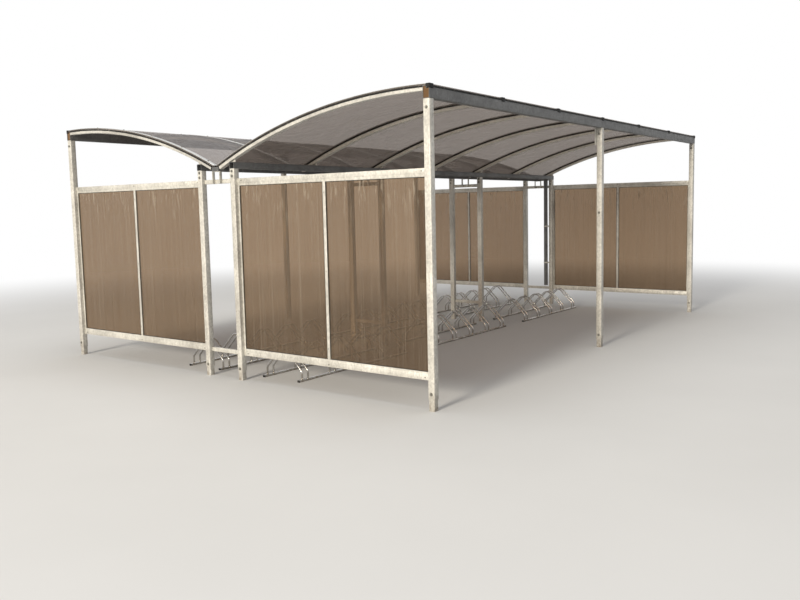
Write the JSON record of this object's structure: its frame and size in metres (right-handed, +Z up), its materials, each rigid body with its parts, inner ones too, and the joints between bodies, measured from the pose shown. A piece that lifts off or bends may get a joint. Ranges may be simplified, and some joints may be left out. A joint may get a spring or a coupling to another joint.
{
  "type": "bike shelter",
  "caption": "Open-sided double bike shelter with two arched translucent half roofs that fall to a shared middle gutter, glazed end panels and ground racks.",
  "frame": {"origin": "centre of the plan at ground level, under the middle gutter", "axes": "+Z up, +Y along the gutter from the front end to the back end, +X across from the left half to the right half as seen from the front"},
  "size_m": [4.8366, 6.54, 2.486],
  "materials": {
    "galvanised_steel": "hot-dip galvanised, dull and mottled",
    "rack_steel": "hot-dip galvanised, dull",
    "gutter_sheet": "dark, weathered",
    "pipe_plastic": "dark grey, slightly faded",
    "aluminium_strip": "mill finish",
    "roof_polycarbonate": "smoky translucent twin-wall sheet",
    "wall_polycarbonate": "bronze twin-wall sheet with fine upright flutes",
    "black_rubber": "matt"
  },
  "bodies": {
    "root": {"cover_strips_left": "aluminium_strip", "cover_strips_right": "aluminium_strip", "cross_rails_bottom": "galvanised_steel", "cross_rails_top": "galvanised_steel", "downpipe": "pipe_plastic", "downpipe_clips": "galvanised_steel", "gutter": "gutter_sheet", "gutter_brackets": "galvanised_steel", "inner_beam_left": "galvanised_steel", "inner_beam_right": "galvanised_steel", "inner_feet_left": "galvanised_steel", "inner_feet_right": "galvanised_steel", "inner_posts_left": "galvanised_steel", "inner_posts_right": "galvanised_steel", "outer_beam_left": "galvanised_steel", "outer_beam_right": "galvanised_steel", "outer_feet_left": "galvanised_steel", "outer_feet_right": "galvanised_steel", "outer_posts_left": "galvanised_steel", "outer_posts_right": "galvanised_steel", "panel_frame_back_left": "galvanised_steel", "panel_frame_back_right": "galvanised_steel", "panel_frame_front_left": "galvanised_steel", "panel_frame_front_right": "galvanised_steel", "panel_mullions_back": "galvanised_steel", "panel_mullions_front": "galvanised_steel", "panel_sheets_back_left": "wall_polycarbonate", "panel_sheets_back_right": "wall_polycarbonate", "panel_sheets_front_left": "wall_polycarbonate", "panel_sheets_front_right": "wall_polycarbonate", "post_plate_left": "galvanised_steel", "post_plate_right": "galvanised_steel", "rack_end_caps_left": "black_rubber", "rack_end_caps_right": "black_rubber", "rack_hoops_left": "rack_steel", "rack_hoops_right": "rack_steel", "rack_rails_left": "rack_steel", "rack_rails_right": "rack_steel", "rib_saddles_left": "galvanised_steel", "rib_saddles_right": "galvanised_steel", "roof_ribs_left": "galvanised_steel", "roof_ribs_right": "galvanised_steel", "roof_sheets_left": "roof_polycarbonate", "roof_sheets_right": "roof_polycarbonate"}
  },
  "joints": []
}
